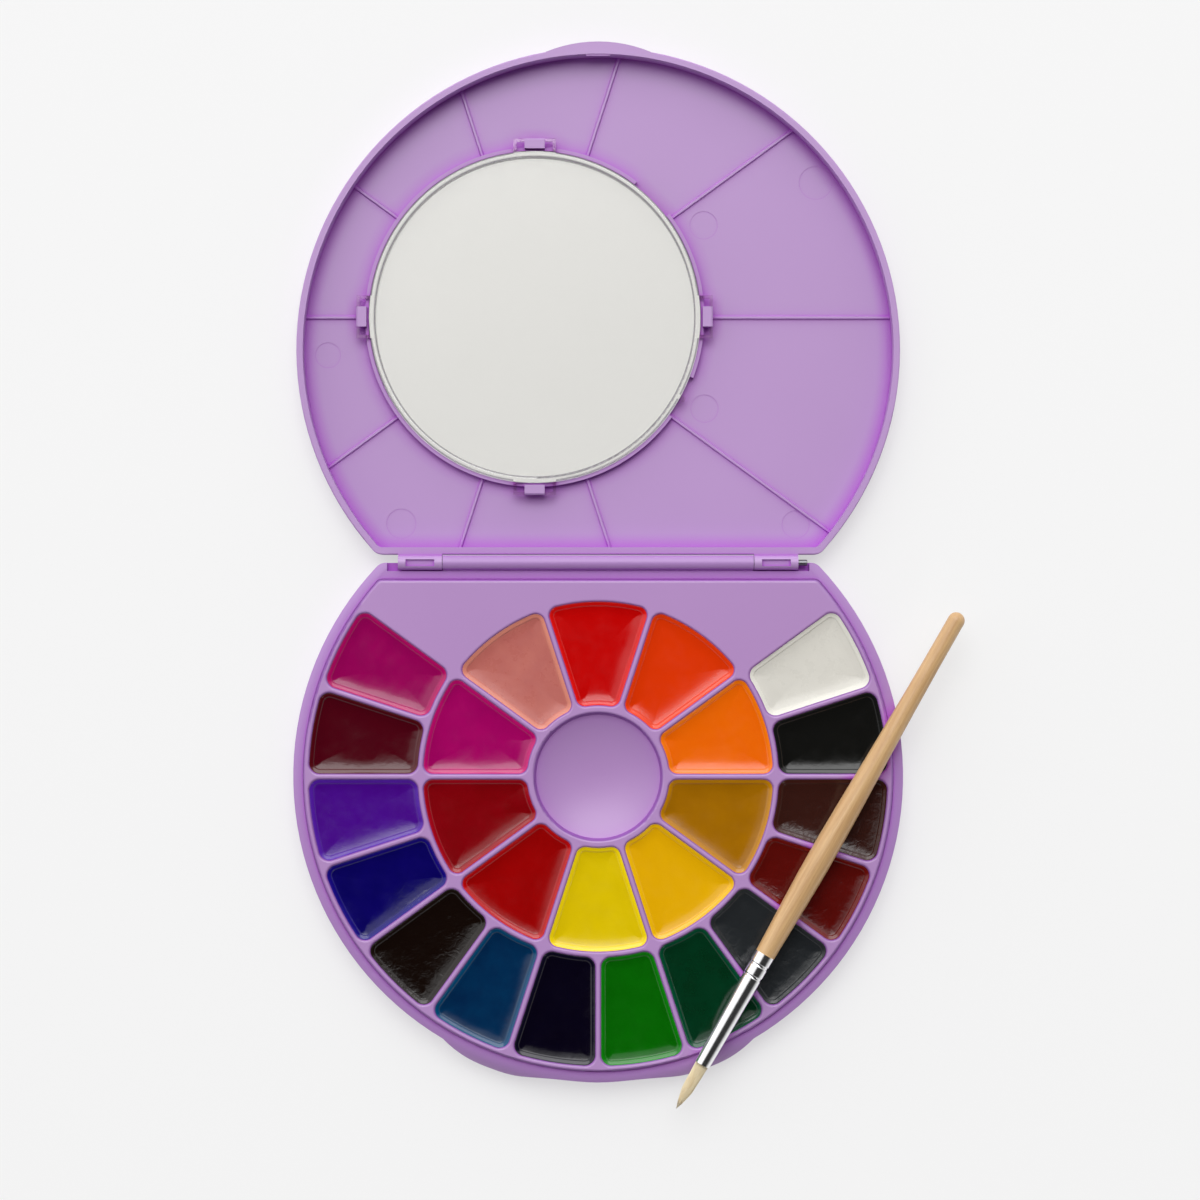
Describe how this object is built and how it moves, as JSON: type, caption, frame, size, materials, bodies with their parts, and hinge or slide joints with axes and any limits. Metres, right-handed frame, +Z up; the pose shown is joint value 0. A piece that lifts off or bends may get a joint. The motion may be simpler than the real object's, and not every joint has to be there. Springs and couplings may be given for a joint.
{
  "type": "watercolour paint set",
  "caption": "Round watercolour palette with paint cakes in ringed wells, a mixing bowl, a windowed lid that opens flat on pin hinges, and a round brush.",
  "frame": {"origin": "centre of the palette's circle, on the underside of the base where it stands", "axes": "+X to the right along the hinge, +Y from the palette towards the hinge and the open lid, +Z up out of the wells"},
  "size_m": [0.2195, 0.3491, 0.0191],
  "materials": {
    "lavender_plastic": "satin",
    "clear_plastic": "gloss",
    "pin_steel": "satin",
    "ferrule_metal": "polished",
    "handle_wood": "varnished",
    "bristle": "matt",
    "paint_red": "gloss",
    "paint_flesh_pink": "gloss",
    "paint_magenta": "gloss",
    "paint_crimson": "gloss",
    "paint_deep_red": "gloss",
    "paint_yellow": "gloss",
    "paint_golden_yellow": "gloss",
    "paint_ochre": "gloss",
    "paint_orange": "gloss",
    "paint_orange_red": "gloss",
    "paint_purple": "gloss",
    "paint_maroon": "gloss",
    "paint_violet": "gloss",
    "paint_indigo": "gloss",
    "paint_sepia": "gloss",
    "paint_dark_blue": "gloss",
    "paint_blue_black": "gloss",
    "paint_green": "gloss",
    "paint_dark_green": "gloss",
    "paint_grey": "gloss",
    "paint_red_brown": "gloss",
    "paint_umber": "gloss",
    "paint_black": "gloss",
    "paint_white": "gloss"
  },
  "bodies": {
    "base": {"base_shell": "lavender_plastic", "well_tray": "lavender_plastic", "cake_red": "paint_red", "cake_flesh_pink": "paint_flesh_pink", "cake_magenta": "paint_magenta", "cake_crimson": "paint_crimson", "cake_deep_red": "paint_deep_red", "cake_yellow": "paint_yellow", "cake_golden_yellow": "paint_golden_yellow", "cake_ochre": "paint_ochre", "cake_orange": "paint_orange", "cake_orange_red": "paint_orange_red", "cake_purple": "paint_purple", "cake_maroon": "paint_maroon", "cake_violet": "paint_violet", "cake_indigo": "paint_indigo", "cake_sepia": "paint_sepia", "cake_dark_blue": "paint_dark_blue", "cake_blue_black": "paint_blue_black", "cake_green": "paint_green", "cake_dark_green": "paint_dark_green", "cake_grey": "paint_grey", "cake_red_brown": "paint_red_brown", "cake_umber": "paint_umber", "cake_black": "paint_black", "cake_white": "paint_white", "hinge_pin_left": "pin_steel", "hinge_pin_right": "pin_steel"},
    "lid": {"lid_shell": "lavender_plastic", "window_lens": "clear_plastic"},
    "brush": {"brush_handle": "handle_wood", "brush_ferrule": "ferrule_metal", "brush_bristles": "bristle"}
  },
  "joints": [
    {"name": "lid_hinge", "type": "hinge", "parent": "base", "child": "lid", "pos_m": [0, 0.07, 0.009], "axis": [1, 0, 0], "range_deg": [0, 180]},
    {"name": "brush_turn_off", "type": "hinge", "parent": "base", "child": "brush", "pos_m": [0.07848, -0.04507, 0.0098], "axis": [0.498, 0.8672, 0], "range_deg": [0, 180]}
  ],
  "couplings": [
    {"joint": "brush_turn_off", "follows": "lid_hinge", "ratio": 1}
  ]
}
